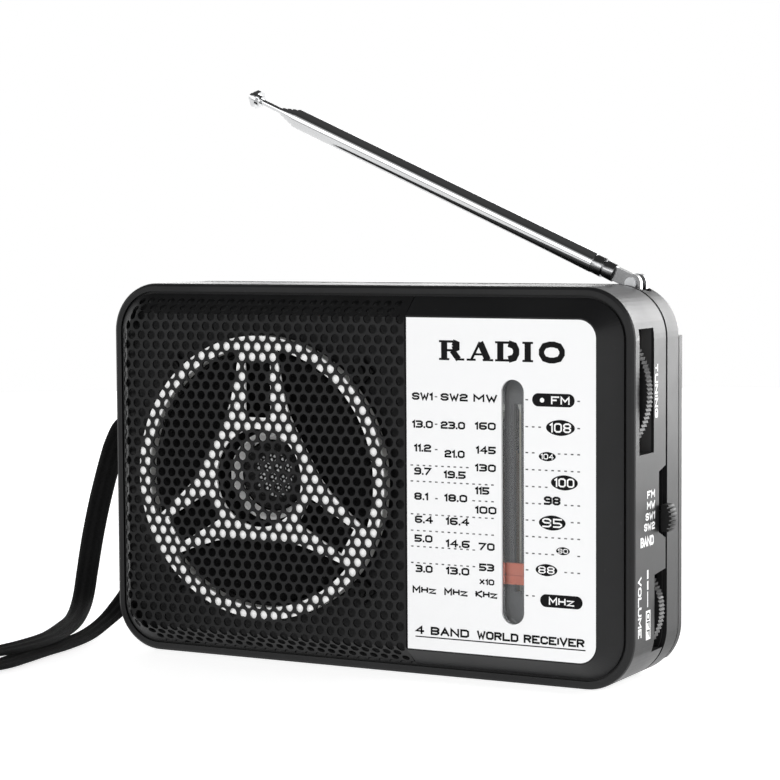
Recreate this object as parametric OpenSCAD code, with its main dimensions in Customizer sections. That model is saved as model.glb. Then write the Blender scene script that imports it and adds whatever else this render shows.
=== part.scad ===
// Pocket shortwave receiver with speaker, dial, thumbwheels, telescopic antenna and wrist strap.
// Millimetres. X to the right, Y to the back, Z up. The origin is the centre of the bottom face.

/* [Case] */
// width of the case
case_w = 116.6; // [112:0.2:122]
// height of the case
case_h = 76.4; // [76.4:0.2:80]
// depth of the front half, rim to parting line
front_d = 16.2; // [15.6:0.1:17]
// depth of the rear half, parting line to back face
back_d = 8.2; // [8:0.1:9]
// wall thickness
wall = 1.9; // [1.6:0.1:2.2]
// corner radius of the case outline
corner_r = 10; // [8:0.5:12]
// how far the speaker and dial plateau stands in front of the rim
rise = 4.3; // [3.8:0.1:4.6]

/* [Grille] */
// hole pitch across
pitch_x = 2.4; // [2.4, 2.6, 2.8]
// hole pitch between rows
pitch_z = 2.0; // [2.0, 2.2]
// hole diameter
hole_d = 1.8; // [1.2:0.1:1.8]

/* [Dial] */
// travel of the pointer from one end stop to the other
pointer_travel = 28; // [20:0.5:28]
// width of the slot in the dial plate
slot_w = 4.7; // [4.2:0.1:5]

/* [Controls] */
// radius of the tuning wheel over the knurl
tuning_r = 16; // [15.4:0.1:16.2]
// radius of the volume wheel over the knurl
volume_r = 10.4; // [9.8:0.1:10.8]

/* [Antenna] */
// angle of the antenna above the case top
antenna_tilt = 24; // [0:1:60]
// radius of the outer tube
tube_r = 2.05; // [1.95:0.05:2.05]
// length of the outer tube
tube_len = 75; // [60:1:78]

/* [Hidden] */

// planes along the depth
split_y = 4;
rim_y = split_y - front_d;
back_y = split_y + back_d;
plate_y = rim_y - rise;
pad_y = back_y + 1;
in_front_y = rim_y + 1.8;
in_back_y = back_y - wall;
half_w = case_w / 2;
// dial area
dial_x0 = 12.7;
dial_x1 = 52.4;
dial_z0 = 5.9;
dial_z1 = 70.4;
slot_x = 35.3;
slot_z0 = 12.2;
slot_z1 = 58.9;
pointer_z = 21.6;
// tuning drive
tune_x = half_w + 1.2 - tuning_r;
tune_z = 56.2;
wheel_y0 = -8.4;
wheel_y1 = -5.8;
drum_r = 8.9;
cord_y = -10.4;
cord_x = tune_x - drum_r;
idler_r = 3;
idler_x = cord_x + idler_r;
idler_z = 15;
// volume drive
vol_x = half_w + 0.7 - volume_r;
vol_z = 14.2;
// band slider
band_z = 31.9;
band_y = 2.1;
// circuit board
pcb_y0 = -5.4;
pcb_y1 = -4.2;
// speaker
spk_x = -21.3;
spk_z = 37.6;
// batteries
cell_y = 4.4;
cell_r = 7.1;
cell_x = [2.45, 17.55];
box_x0 = -5.1;
box_x1 = 25.1;
box_z0 = 3.3;
box_z1 = 59.3;
// antenna pivot
ant_x = 50.2;
ant_y = 8.0;
ant_z = 76.6;
// screw places
case_screw_at = [[-52.8, 6.6], [-52.8, 69.0], [27.5, 69.5], [33.0, 6.5]];
board_screw_at = [[24.0, 63.5], [38.5, 7.0]];
clamp_at = [45, 135, 225, 315];

module slab(y0, y1) {
  translate([0, y1, 0]) rotate([90, 0, 0]) linear_extrude(height = y1 - y0) children();
}
module ycyl(x, z, r, y0, y1, fn = 64) {
  translate([x, y1, z]) rotate([90, 0, 0]) cylinder(h = y1 - y0, r = r, $fn = fn);
}
module box(x0, x1, y0, y1, z0, z1) {
  translate([x0, y0, z0]) cube([x1 - x0, y1 - y0, z1 - z0]);
}
// rounded rectangle, corners given as opposite points
module rrect(x0, x1, z0, z1, r, fn = 64) {
  translate([x0 + r, z0]) square([x1 - x0 - 2 * r, z1 - z0]);
  translate([x0, z0 + r]) square([x1 - x0, z1 - z0 - 2 * r]);
  for (x = [x0 + r, x1 - r]) {
    for (z = [z0 + r, z1 - r]) {
      translate([x, z]) circle(r = r, $fn = fn);
    }
  }
}
// outline of the case moved in by the given amount
module outline(inset) {
  rrect(-half_w + inset, half_w - inset, inset, case_h - inset, corner_r - inset);
}
// rounded rectangle with one straight side: side = 1 keeps the right corners round, -1 the left ones
module half_rrect(x0, x1, z0, z1, r, side) {
  intersection() {
    rrect(side > 0 ? x0 - 2 * r : x0, side > 0 ? x1 : x1 + 2 * r, z0, z1, r);
    translate([x0, z0]) square([x1 - x0, z1 - z0]);
  }
}
// outline of a knurled wheel: n teeth between the radii r0 and r1
function knurl(r0, r1, n) =
  [for (i = [0:2 * n - 1]) let (a = i * 180 / n, r = i % 2 == 0 ? r1 : r0) [r * cos(a), r * sin(a)]];

module front_shell() {
  color("#1b1b1d") difference() {
    union() {
      difference() {
        // outer body with a small round at the rim
        hull() {
          slab(rim_y, rim_y + 0.1) outline(0.6);
          slab(rim_y + 0.25, rim_y + 0.35) outline(0.15);
          slab(rim_y + 0.7, split_y) outline(0);
        }
        slab(in_front_y, split_y + 1) outline(wall);
        // shadow gap along the joint of the two shells
        slab(split_y - 0.35, split_y + 1) difference() {
          outline(-1);
          outline(0.9);
        }
        // fine groove inside the rim
        slab(rim_y - 1, rim_y + 0.8) difference() {
          outline(1.6);
          outline(2.1);
        }
      }
      // raised dial frame with sloping sides
      hull() {
        slab(rim_y, in_front_y) half_rrect(12.5, 56.2, 2.1, case_h - 2.1, 7.9, 1);
        slab(plate_y, plate_y + 0.1) half_rrect(12.5, dial_x1 + 0.3, dial_z0 - 0.3, dial_z1 + 0.3, 3.8, 1);
      }
      // collar behind the tuning slot
      box(half_w - wall - 0.9, half_w - wall + 0.2, -2.6, -1.5, 43.7, 69);
      box(half_w - wall - 0.9, half_w - wall + 0.2, -9.9, -1.5, 43.7, 44.8);
      for (p = board_screw_at) {
        ycyl(p[0], p[1], 2.2, in_front_y - 0.5, pcb_y0);
      }
      for (p = case_screw_at) {
        ycyl(p[0], p[1], 2.6, in_front_y - 0.5, split_y);
      }
    }
    // seat of the dial plate and the hollow behind it
    slab(plate_y - 1, plate_y + 0.6) half_rrect(dial_x0, dial_x1, dial_z0, dial_z1, 3.5, 1);
    slab(plate_y + 1.8, in_front_y + 0.4) difference() {
      translate([14.3, 7.5]) square([36.7, 61.5]);
      for (p = board_screw_at) {
        translate([p[0], p[1]]) circle(r = 2.2, $fn = 64);
      }
      for (p = case_screw_at) {
        translate([p[0], p[1]]) circle(r = 2.6, $fn = 64);
      }
    }
    slab(plate_y, plate_y + 3) stadium(slot_w);
    box(27.2, 53.6, -12, in_front_y + 0.4, 45, 67);
    // speaker opening
    ycyl(spk_x, spk_z, 26.6, rim_y - 1, in_front_y + 1, 96);
    for (x = [-40, -5]) {
      box(x - 2.1, x + 2.1, rim_y - 1, in_front_y + 1, 2.2, 2.9);
      box(x - 2.1, x + 2.1, rim_y - 1, in_front_y + 1, case_h - 2.9, case_h - 2.2);
    }
    for (a = clamp_at) {
      ycyl(spk_x + 30.5 * cos(a), spk_z + 30.5 * sin(a), 0.9, rim_y - 1, in_front_y + 1, 24);
    }
    // slots for the tuning wheel, the band slider and the volume wheel
    box(half_w - wall - 2.5, half_w + 1, -9.7, -2.4, 44.8, 68.5);
    side_slot([[0.2, 29.2], [split_y + 1, 27.3], [split_y + 1, 42.2], [0.2, 40.9]]);
    side_slot([[-2, 6.4], [split_y + 1, 6.4], [split_y + 1, 22], [-2, 21.3]]);
    // earphone hole
    translate([-half_w - 1, -2, 62]) rotate([0, 90, 0]) cylinder(h = 6, r = 2.95, $fn = 48);
    for (p = board_screw_at) {
      ycyl(p[0], p[1], 0.95, -9, pcb_y0 + 1, 24);
    }
    for (p = case_screw_at) {
      ycyl(p[0], p[1], 1.1, -6, split_y + 1, 24);
    }
  }
}

// slot through the right side wall, drawn in depth and height
module side_slot(points) {
  translate([half_w - wall - 1, 0, 0]) rotate([90, 0, 90]) linear_extrude(wall + 2) polygon(points);
}
// long slot with round ends, standing upright in the dial
module stadium(w) {
  translate([slot_x - w / 2, slot_z0 + w / 2]) square([w, slot_z1 - slot_z0 - w]);
  for (z = [slot_z0 + w / 2, slot_z1 - w / 2]) {
    translate([slot_x, z]) circle(r = w / 2, $fn = 48);
  }
}

module back_shell() {
  color("#1b1b1d") difference() {
    union() {
      difference() {
        // outer body with a rounded rear edge
        hull() {
          slab(split_y, back_y - 2) outline(0);
          slab(back_y - 1.2, back_y - 1.1) outline(0.2);
          slab(back_y - 0.6, back_y - 0.5) outline(0.6);
          slab(back_y - 0.1, back_y) outline(1.6);
        }
        slab(split_y - 1, in_back_y) outline(wall);
        // shadow gap along the joint of the two shells
        slab(split_y - 1, split_y + 0.45) difference() {
          outline(-1);
          outline(0.9);
        }
      }
      // raised pad on the back
      hull() {
        slab(in_back_y + 0.3, back_y) intersection() {
          outline(0);
          translate([-half_w, 3]) square([case_w, 63.5]);
        }
        slab(back_y + 0.4, back_y + 0.5) intersection() {
          outline(0.3);
          translate([-half_w, 3.2]) square([case_w, 63]);
        }
        slab(pad_y - 0.1, pad_y) intersection() {
          outline(1.1);
          translate([-half_w, 3.6]) square([case_w, 61.8]);
        }
      }
      // battery box
      difference() {
        box(box_x0 - 1.2, box_x1 + 1.2, -4, in_back_y + 0.5, box_z0 - 1, box_z1 + 1.2);
        box(box_x0, box_x1, -2.9, in_back_y + 1, box_z0, box_z1);
      }
      // floor of the antenna channel and the block around the antenna bushing
      slab(split_y + 0.2, in_back_y + 0.5) intersection() {
        outline(0.5);
        translate([-50, 72.8]) square([106, case_h - 73.8]);
      }
      // block around the strap pocket
      box(-half_w + 1, -52.3, split_y + 0.2, in_back_y + 0.5, 43.3, 54.7);
      for (p = case_screw_at) {
        ycyl(p[0], p[1], 3.6, split_y, in_back_y + 0.5);
      }
    }
    // door opening and its seat
    box(-4.6, 24.6, in_back_y - 1, pad_y + 1, 5.4, 60.3);
    box(-6.2, 26.2, 11.6, pad_y + 1, 4.3, 60.3);
    box(-6.2, 26.2, 10.9, pad_y + 1, 57.6, 60.3);
    for (x = [-7, 26]) {
      translate([x, 12.45, 59]) rotate([0, 90, 0]) cylinder(h = 1, r = 0.75, $fn = 24);
    }
    // antenna channel, pocket and bushing bore
    box(-49, ant_x, 5.6, 10.4, 74.3, case_h + 1);
    translate([ant_x, ant_y, 74.3]) cylinder(h = 4, r = 3.1, $fn = 48);
    translate([ant_x, ant_y, 70]) cylinder(h = 5, r = 2.5, $fn = 48);
    // strap pocket and bar holes
    box(-half_w - 1, -53.5, 5.4, 10.6, 44.5, 53.5);
    translate([-56.2, 8, 43.5]) cylinder(h = 11, r = 1.03, $fn = 32);
    for (p = case_screw_at) {
      ycyl(p[0], p[1], 1.3, split_y - 1, back_y, 32);
      ycyl(p[0], p[1], 2.5, 6.5, pad_y + 1, 32);
    }
  }
}

// sheet pan of the grille, its left, top and bottom edges bent back
module grille_pan(t) {
  hull() {
    slab(rim_y - 0.1, rim_y) half_rrect(-56.2 + t, 14, 2.1 + t, case_h - 2.1 - t, 7.9 - t, -1);
    slab(plate_y + t, plate_y + t + 0.1)
      half_rrect(-52.3 + t * 0.4, 14, 6 + t * 0.4, 70.4 - t * 0.4, 4, -1);
  }
}
module speaker_grille() {
  color("#26272a") difference() {
    union() {
      difference() {
        grille_pan(0);
        grille_pan(0.5);
        slab(rim_y - 0.3, rim_y + 1) half_rrect(-55.7, 14, 2.6, case_h - 2.6, 7.4, -1);
      }
      for (x = [-40, -5]) {
        box(x - 2, x + 2, rim_y - 0.3, -9.9, 2.3, 2.8);
        box(x - 2, x + 2, rim_y - 0.3, -9.9, case_h - 2.8, case_h - 2.3);
      }
    }
    box(12.3, 20, -20, 0, 0, case_h);
    // holes of the flat face
    for (j = [-1:31]) {
      for (i = [-1:25]) {
        odd = (j + 2) % 2;
        translate([-50.2 + (30 - j) * 0.01 + (i + odd / 2) * pitch_x, plate_y + 2, 67.98 - j * pitch_z])
          rotate([90, 0, 0]) cylinder(h = 3, r = hole_d / 2, $fn = 24);
      }
    }
    // holes of the bent edges
    for (k = [0:1]) {
      for (i = [-1:24]) {
        translate([-48.8 + (i + k * 0.38) * pitch_x, plate_y + 1.35 + k * 1.45, 71.55 + k * 1.35])
          rotate([42, 0, 0]) cylinder(h = 4, r = 0.85, $fn = 24, center = true);
      }
    }
    for (k = [0:2]) {
      for (i = [0:24]) {
        translate([-48 + (i + k / 2) * pitch_x, plate_y + 1.5 + k * 1.35, 4.6 - k * 1.15])
          rotate([138, 0, 0]) cylinder(h = 3.4, r = 0.85 - k * 0.05, $fn = 24, center = true);
      }
    }
    for (k = [0:1]) {
      for (j = [0:28]) {
        translate([-53.7 - k * 1.3, plate_y + 1.5 + k * 1.4, 9.6 + (j + k / 2) * pitch_z])
          rotate([0, 0, 42]) rotate([0, 90, 0]) cylinder(h = 4, r = 0.7, $fn = 24, center = true);
      }
    }
  }
}

module dial_plate() {
  color("#f4f4f1") slab(plate_y, plate_y + 0.6) difference() {
    half_rrect(dial_x0, dial_x1, dial_z0, dial_z1, 3.5, 1);
    stadium(slot_w);
  }
}

module dial_window() {
  color("#c8d0d4") union() {
    slab(plate_y + 1.8, plate_y + 2.5) translate([31.6, 10.7]) square([7.4, 49.7]);
    slab(plate_y + 0.5, plate_y + 1.9) stadium(slot_w - 0.2);
  }
}

module pointer() {
  color("#d2442a") difference() {
    union() {
      box(slot_x - 2.55, slot_x + 1.35, -13.7, -12.7, pointer_z - 2.05, pointer_z + 2.05);
      box(34.05, 35.55, -12.8, -9.6, pointer_z - 0.8, pointer_z + 0.8);
    }
    // index line across the middle
    box(slot_x - 3, slot_x + 2, -14, -13.4, pointer_z - 0.35, pointer_z);
    translate([cord_x, cord_y, pointer_z - 2]) cylinder(h = 4, r = 0.4, $fn = 24);
  }
}

module pointer_guide() {
  color("#3c3f44") difference() {
    union() {
      box(30.3, 40.4, -12.5, -11.5, 9.6, 62);
      box(30.3, 31.4, plate_y + 1.8, -12.4, 9.6, 62);
      box(39.3, 40.4, plate_y + 1.8, -12.4, 9.6, 62);
    }
    box(34.0, 35.6, -13, -11, 18, 54);
  }
}

module tuning_wheel() {
  color("#202124") translate([tune_x, 0, tune_z]) difference() {
    slab(wheel_y0, wheel_y1) polygon(knurl(tuning_r - 0.3, tuning_r, 126));
    // thinner web inside the rim
    slab(wheel_y0 - 1, wheel_y0 + 0.7) difference() {
      circle(r = tuning_r - 2, $fn = 96);
      circle(r = 10.2, $fn = 64);
    }
    ycyl(0, 0, 3, -10, 0, 48);
  }
}
module cord_drum() {
  color("#e8e4d8") translate([tune_x, 0, tune_z]) difference() {
    union() {
      ycyl(0, 0, 8.3, -11.3, wheel_y0);
      ycyl(0, 0, 9.5, -11.3, -10.95);
      ycyl(0, 0, 9.5, -9.85, -9.4);
    }
    ycyl(0, 0, 1.3, -12, 0, 32);
    ycyl(0, 0, 2.7, -12, -10, 32);
    // pocket of the cord spring
    ycyl(5.4, 0, 1.6, -12, -10, 32);
  }
}
module tuning_screw() {
  color("#c9ccd0") translate([tune_x, 0, tune_z]) screw(2.4, 1.1, -11.1, -10, 5.4);
}
// round head screw along Y: head from y0 to y1, shank behind it, cross recess in the head
module screw(head_r, shank_r, y0, y1, shank) {
  difference() {
    union() {
      ycyl(0, 0, head_r, y0, y1, 32);
      ycyl(0, 0, shank_r, y1 - 0.1, y1 + shank, 24);
    }
    box(-head_r * 0.6, head_r * 0.6, y0 - 1, y0 + 0.5, -0.3, 0.3);
    box(-0.3, 0.3, y0 - 1, y0 + 0.5, -head_r * 0.6, head_r * 0.6);
  }
}
module tuning_shaft() {
  color("#c9a658") translate([tune_x, 0, tune_z]) difference() {
    ycyl(0, 0, 3, wheel_y0, -1.2, 48);
    ycyl(0, 0, 1.2, -10, -4, 32);
  }
}
module tuning_capacitor() {
  color("#d9dbd2") difference() {
    union() {
      box(tune_x - 10, tune_x + 9.6, pcb_y1, 6, tune_z - 10, tune_z + 10);
      // lugs at the top edge
      for (x = [-6, 0, 6]) {
        box(tune_x + x - 1, tune_x + x + 1, -3.9, -3.5, tune_z + 9.5, tune_z + 12.5);
      }
    }
    ycyl(tune_x, tune_z, 3.05, -5, -0.8, 48);
  }
}

module belt(r_in, r_out) {
  difference() {
    hull() {
      translate([tune_x, tune_z]) circle(r = drum_r + r_out, $fn = 72);
      translate([idler_x, idler_z]) circle(r = idler_r + r_out, $fn = 48);
    }
    hull() {
      translate([tune_x, tune_z]) circle(r = drum_r - r_in, $fn = 72);
      translate([idler_x, idler_z]) circle(r = idler_r - r_in, $fn = 48);
    }
  }
}
module dial_cord() {
  color("#e9e4cf") slab(cord_y - 0.25, cord_y + 0.25) belt(0.25, 0.25);
}
module idler_pulley() {
  color("#e8e4d8") translate([idler_x, 0, idler_z]) difference() {
    union() {
      ycyl(0, 0, 2.4, -11.3, -9.5, 48);
      ycyl(0, 0, 3.8, -11.3, -10.95, 48);
      ycyl(0, 0, 3.8, -9.85, -9.5, 48);
    }
    ycyl(0, 0, 1.05, -12, -9, 32);
  }
}
module idler_pin() {
  color("#c9ccd0") union() {
    ycyl(idler_x, idler_z, 1, -11.4, -9.3, 32);
    ycyl(idler_x, idler_z, 1.7, -9.4, pcb_y0, 32);
  }
}

module volume_wheel() {
  color("#202124") translate([vol_x, 0, vol_z]) difference() {
    union() {
      slab(-0.8, 1.7) polygon(knurl(volume_r - 0.3, volume_r, 84));
      ycyl(0, 0, 2.9, -5, -0.7, 48);
    }
    slab(0.9, 3) difference() {
      circle(r = volume_r - 1.8, $fn = 72);
      circle(r = 4.6, $fn = 48);
    }
    ycyl(0, 0, 1.15, -4.6, 3, 32);
    ycyl(0, 0, 2.4, 1.2, 3, 32);
  }
}
module volume_screw() {
  color("#c9ccd0") translate([vol_x, 0, vol_z]) mirror([0, 1, 0]) screw(2.1, 1.0, -2.3, -1.2, 5);
}
module volume_pot() {
  color("#8d8a80") translate([vol_x, 0, vol_z]) difference() {
    union() {
      ycyl(0, 0, 7.6, -8, -1.7);
      intersection() {
        ycyl(0, 0, 10.2, pcb_y1, -3.4);
        box(-20, 55.6 - vol_x, -10, 10, -20, 20);
      }
    }
    ycyl(0, 0, 2.95, -5.3, 0, 48);
  }
}

module band_slider() {
  color("#17181a") translate([0, 0, band_z]) difference() {
    union() {
      box(51, half_w + 0.3, band_y - 1, band_y + 1, -1.3, 1.3);
      box(55.4, 56.2, -0.8, 3.7, -8.5, 8.5);
      intersection() {
        box(half_w + 0.2, half_w + 2.5, band_y - 1.5, band_y + 1.5, -2.6, 2.6);
        ycyl(half_w - 2.7, 0, 5.1, band_y - 2, band_y + 2, 96);
      }
    }
    // grip ribs
    for (z = [-2, -1.2, -0.4, 0.4, 1.2, 2]) {
      box(half_w + 2 - 0.13 * z * z, half_w + 3, band_y - 2, band_y + 2, z - 0.17, z + 0.17);
    }
  }
}
module band_switch() {
  color("#b9bcc0") difference() {
    union() {
      box(45.5, 53, pcb_y1, 3.9, 25.2, 45.4);
      for (z = [27, 31, 35, 39, 43]) {
        box(44.6, 45.6, -4.2, -3.4, z - 0.4, z + 0.4);
      }
    }
    box(50, 54, band_y - 1.2, band_y + 1.2, 29, 42.6);
  }
}

module circuit_board() {
  color("#b58a4a") slab(pcb_y0, pcb_y1) difference() {
    intersection() {
      translate([8.6, 4]) square([46.6, 68]);
      outline(wall + 0.5);
    }
    translate([tune_x, tune_z]) circle(r = 3.6, $fn = 48);
    translate([vol_x, vol_z]) circle(r = 8.6, $fn = 64);
    for (p = board_screw_at) {
      translate([p[0], p[1]]) circle(r = 1.1, $fn = 24);
    }
    for (p = case_screw_at) {
      translate([p[0], p[1]]) circle(r = 3, $fn = 48);
    }
  }
}
module board_screws() {
  color("#c9ccd0") for (p = board_screw_at) {
    translate([p[0], 0, p[1]]) mirror([0, 1, 0]) screw(2.0, 0.9, 3.1, 4.2, 4.4);
  }
}
module coil_cans() {
  color("#c3c6c9") for (p = [[31.5, 27], [31.5, 36], [39, 27], [39, 36]]) {
    difference() {
      box(p[0] - 3.3, p[0] + 3.3, pcb_y1, 4.8, p[1] - 3.3, p[1] + 3.3);
      ycyl(p[0], p[1], 1.6, 3.6, 5, 24);
    }
  }
}
module chips() {
  color("#26272a") for (p = [[14.5, 26, 4.6, 9], [14.5, 48, 4.6, 7]]) {
    box(p[0] - p[2], p[0] + p[2], -7.8, -5.9, p[1] - p[3], p[1] + p[3]);
    for (i = [0:6]) {
      for (s = [-1, 1]) {
        box(p[0] + s * (p[2] + 0.3) - 0.3, p[0] + s * (p[2] + 0.3) + 0.3, -6.8, pcb_y0,
          p[1] - p[3] + 1 + i * (p[3] - 1) / 3 - 0.25, p[1] - p[3] + 1 + i * (p[3] - 1) / 3 + 0.25);
      }
    }
  }
}
module electrolytics() {
  color("#22345c") for (p = [[29.6, 12.6, 2.4], [30.5, 19.4, 2.4], [36.6, 20.3, 2.4], [30.0, 46, 2.4]]) {
    ycyl(p[0], p[1], p[2], pcb_y1, 3.6, 40);
  }
}
module resistors() {
  color("#c9a074") for (z = [14, 18, 22, 26, 30, 34]) {
    p = [23.8, z];
    translate([p[0] - 3, pcb_y0 - 1, p[1]]) rotate([0, 90, 0]) cylinder(h = 6, r = 0.9, $fn = 24);
    box(p[0] - 3.5, p[0] - 2.9, pcb_y0 - 1.2, pcb_y0, p[1] - 0.25, p[1] + 0.25);
    box(p[0] + 2.9, p[0] + 3.5, pcb_y0 - 1.2, pcb_y0, p[1] - 0.25, p[1] + 0.25);
  }
}
module ceramic_filter() {
  color("#c9702f") box(20.6, 27.4, -8.4, pcb_y0, 39.5, 42.2);
}
module air_coils() {
  color("#b06a35") for (z = [60.5, 66]) {
    translate([10, pcb_y0 - 1.9, z]) rotate([0, 90, 0]) difference() {
      cylinder(h = 7, r = 1.9, $fn = 40);
      translate([0, 0, -1]) cylinder(h = 9, r = 1.3, $fn = 40);
    }
  }
}

module xcyl(x0, x1, y, z, r, fn = 48) {
  translate([x0, y, z]) rotate([0, 90, 0]) cylinder(h = x1 - x0, r = r, $fn = fn);
}
module ferrite_rod() {
  color("#34353a") xcyl(-46, 21, 0.4, 67.6, 4);
}
module rod_coils() {
  color("#b06a35") for (x = [[-38, -22], [-10, 2]]) {
    difference() {
      xcyl(x[0], x[1], 0.4, 67.6, 4.9);
      xcyl(x[0] - 1, x[1] + 1, 0.4, 67.6, 4);
    }
  }
}
module rod_saddles() {
  color("#26272a") for (x = [-45, 15]) {
    difference() {
      box(x, x + 3, 0, in_back_y, 62.4, 72.4);
      xcyl(x - 1, x + 4, 0.4, 67.6, 4);
    }
  }
}

// ring of revolution around the speaker axis: profile points are [radius, depth]
module spun(profile, fn = 96) {
  translate([spk_x, 0, spk_z]) rotate([-90, 0, 0]) rotate_extrude($fn = fn) polygon(profile);
}
module speaker_basket() {
  color("#a9adb1") difference() {
    spun([
      [25.6, -13.4], [28.5, -13.4], [28.5, rim_y], [26.2, rim_y], [25.4, -11], [14.6, -5.2], [14.6, -4.4],
      [7.2, -4.4], [7.2, -5.2], [13.8, -5.2], [24.4, -11], [25.6, -12.4]
    ]);
    for (a = [0, 90, 180, 270]) {
      translate([spk_x, 0, spk_z]) rotate([0, a, 0]) box(16.5, 23.5, -12, -4, -4, 4);
    }
  }
}
module speaker_gasket() {
  color("#efefec") spun([[26.2, plate_y + 1.1], [28.6, plate_y + 1.1], [28.6, -13.4], [26.2, -13.4]]);
}
// white guard in front of the cone: a ring and three spokes with hollow sides, each with a window
guard_side = [
  [12.6, 0], [12.6, 4], [12.7, 7], [13.2, 10], [14.1, 13], [15.1, 16], [16.5, 19.8], [30, 30], [30, 0]
];
module speaker_guard() {
  color("#f2f2ef") translate([spk_x, 0, spk_z]) slab(plate_y + 0.6, plate_y + 1.1) difference() {
    circle(r = 28.6, $fn = 96);
    difference() {
      circle(r = 26.2, $fn = 96);
      difference() {
        circle(r = 27, $fn = 96);
        circle(r = 9.9, $fn = 96);
        for (a = [30, 150, 270]) {
          rotate(a) {
            polygon(guard_side);
            mirror([0, 1]) polygon(guard_side);
          }
        }
        for (a = [90, 210, 330]) {
          rotate(a) translate([12.2, -2.95]) square([11.3, 5.9]);
        }
      }
    }
  }
}
// white collar round the middle of the cone
module cone_collar() {
  color("#f2f2ef") spun([[7.3, -10.0], [8.3, -11.9], [8.9, -11.9], [7.9, -10.1]]);
}
module speaker_magnet() {
  color("#2c2c2f") spun([[7.2, -4.4], [14, -4.4], [14, 2.6], [7.2, 2.6]]);
}
module speaker_rear_plate() {
  color("#c3c6c9") spun([[0, -6], [5.6, -6], [5.6, 2.6], [13.6, 2.6], [13.6, 3.9], [0, 3.9]]);
}
module speaker_cone() {
  color("#1d1d1f") spun([
    [25.2, -13.9], [24.6, -14.4], [23.2, -14.5], [22, -14], [21.4, -13.4], [14, -11.6], [7.2, -9.9],
    [6.6, -9.9], [6.6, -9.4], [7.2, -9.4], [14, -11.1], [21.4, -12.9], [22.4, -13.5], [23.4, -14],
    [24.5, -13.9], [25.2, -13.4]
  ]);
}
module dust_cap() {
  color("#d6d8da") spun([
    [0, -9.5], [3, -9.55], [5, -9.75], [6, -10.2], [6.6, -10.4], [7, -9.9], [6.4, -9.9], [5.4, -9.4],
    [4, -9.2], [0, -9.1]
  ]);
}
module voice_coil() {
  color("#b06a35") spun([[6.1, -9.6], [6.58, -9.6], [6.58, -2], [6.1, -2]]);
}
module speaker_clamps() {
  color("#c3c6c9") for (a = clamp_at) {
    translate([spk_x, 0, spk_z]) rotate([0, -a, 0]) difference() {
      box(28.7, 33, rim_y - 1, rim_y, -2.2, 2.2);
      ycyl(30.5, 0, 0.95, -20, 0, 24);
    }
  }
}
module clamp_screws() {
  color("#c9ccd0") for (a = clamp_at) {
    translate([spk_x, 0, spk_z]) rotate([0, -a, 0]) translate([30.5, 0, 0])
      screw(1.6, 0.8, rim_y - 1.9, rim_y - 1, 3.4);
  }
}

module earphone_jack() {
  color("#2a2b2e") difference() {
    union() {
      box(-56.4, -46.4, -6, 2, 58, 66);
      xcyl(-half_w - 0.4, -56.3, -2, 62, 2.85);
    }
    xcyl(-half_w - 2, -48, -2, 62, 1.75);
  }
}

module battery_door() {
  color("#1b1b1d") difference() {
    union() {
      box(-6, 26, 11.7, pad_y, 4.5, 60);
      for (x = [-6.6, 25.9]) {
        xcyl(x, x + 0.7, 12.45, 59, 0.68, 24);
      }
    }
    // thumb grooves
    for (z = [9, 11, 13, 15]) {
      box(4, 16, pad_y - 0.4, pad_y + 1, z, z + 0.8);
    }
  }
}
// round cell along Z standing on z0, button end up or down
module cell(x, z0, up) {
  translate([x, cell_y, z0]) mirror([0, 0, up ? 0 : 1]) translate([0, 0, up ? 0 : -50.5]) union() {
    cylinder(h = 49.2, r = cell_r, $fn = 64);
    translate([0, 0, 49.1]) cylinder(h = 1.4, r = 2.7, $fn = 32);
  }
}
module battery_left() {
  color("#3f6b46") cell(cell_x[0], 6.4, true);
}
module battery_right() {
  color("#3f6b46") cell(cell_x[1], 5.4, false);
}
function coil_point(t, z0, h, r0, r1) =
  [(r0 + (r1 - r0) * t) * cos(t * 1080), (r0 + (r1 - r0) * t) * sin(t * 1080), z0 + h * t];
module spring(x, z0, h, r0, r1) {
  n = 42;
  m = 6;
  pts = [for (i = [0:n]) for (k = [0:m - 1])
    let (t = i / n, a = t * 1080, c = coil_point(t, z0, h, r0, r1), b = k * 360 / m)
      [c[0] + 0.3 * cos(b) * cos(a), c[1] + 0.3 * cos(b) * sin(a), c[2] + 0.3 * sin(b)]];
  sides = [for (i = [0:n - 1]) for (k = [0:m - 1])
    [i * m + k, i * m + (k + 1) % m, (i + 1) * m + (k + 1) % m, (i + 1) * m + k]];
  translate([x, cell_y, 0]) polyhedron(points = pts,
    faces = concat([[for (k = [m - 1:-1:0]) k]], sides, [[for (k = [0:m - 1]) n * m + k]]));
}
module battery_springs() {
  color("#c9ccd0") union() {
    spring(cell_x[0], 4.1, 1.9, 4.4, 2.6);
    translate([0, 0, box_z1]) mirror([0, 0, 1]) spring(cell_x[1], 0.8, 2.2, 4.4, 2.6);
  }
}
module battery_contacts() {
  color("#c9ccd0") union() {
    box(box_x0 + 2, box_x1 - 2, cell_y - 4.5, cell_y + 4.5, box_z0, box_z0 + 0.4);
    box(cell_x[0] - 5, cell_x[0] + 5, cell_y - 4.5, cell_y + 4.5, box_z1 - 0.4, box_z1);
    box(cell_x[1] - 5, cell_x[1] + 5, cell_y - 4.5, cell_y + 4.5, box_z1 - 0.4, box_z1);
    translate([cell_x[0], cell_y, 57]) cylinder(h = 2, r = 2, $fn = 32);
    translate([cell_x[1], cell_y, box_z0]) cylinder(h = 2, r = 2, $fn = 32);
  }
}
module case_screws() {
  color("#3a3b3e") for (p = case_screw_at) {
    translate([p[0], 0, p[1]]) mirror([0, 1, 0]) screw(2.2, 1.05, -7.6, -6.5, 11);
  }
}

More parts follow.
